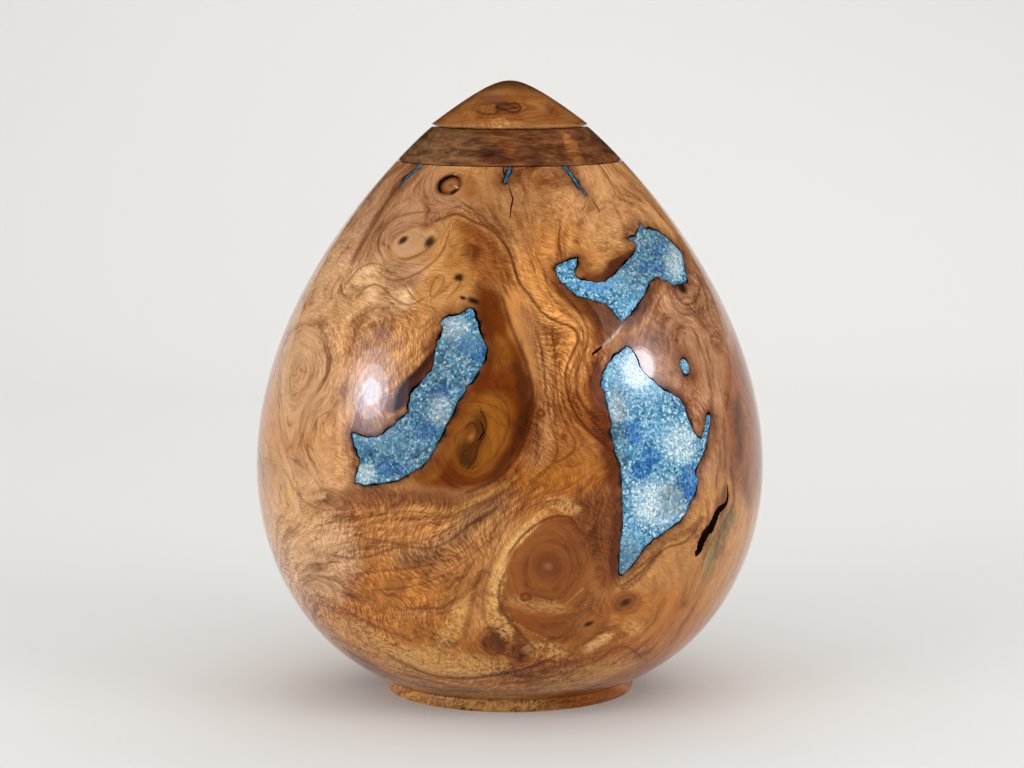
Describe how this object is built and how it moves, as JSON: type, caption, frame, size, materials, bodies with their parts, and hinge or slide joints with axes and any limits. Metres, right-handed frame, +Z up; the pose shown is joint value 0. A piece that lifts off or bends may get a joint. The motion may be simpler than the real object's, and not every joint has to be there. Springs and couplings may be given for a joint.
{
  "type": "funeral urn",
  "caption": "Egg-shaped lathe-turned burl wood funeral urn with a dark collar, a pointed lift-off lid and blue crushed-stone fills; hollow, stands on its foot.",
  "frame": {"origin": "middle of the flat underside of the foot, on the surface the urn stands on", "axes": "+Z is up, along the turning axis to the lid's point; the front with the stone fills faces -Y and +X is to its right as seen from there"},
  "size_m": [0.208, 0.208, 0.25],
  "materials": {
    "burl": "clear gloss lacquer over figured burl",
    "walnut": "clear gloss lacquer over dark walnut",
    "lid_burl": "clear gloss lacquer over brown burl",
    "stone_chips": "blue and white stone chips in clear resin, sanded flush and lacquered"
  },
  "bodies": {
    "root": {"vessel": "burl", "collar": "walnut", "lid": "lid_burl", "inlay_left": "stone_chips", "inlay_upper_right": "stone_chips", "inlay_lower_right": "stone_chips", "inlay_eye": "stone_chips", "crack_fill_left": "stone_chips", "crack_fill_centre": "stone_chips", "crack_fill_right": "stone_chips"}
  },
  "joints": []
}
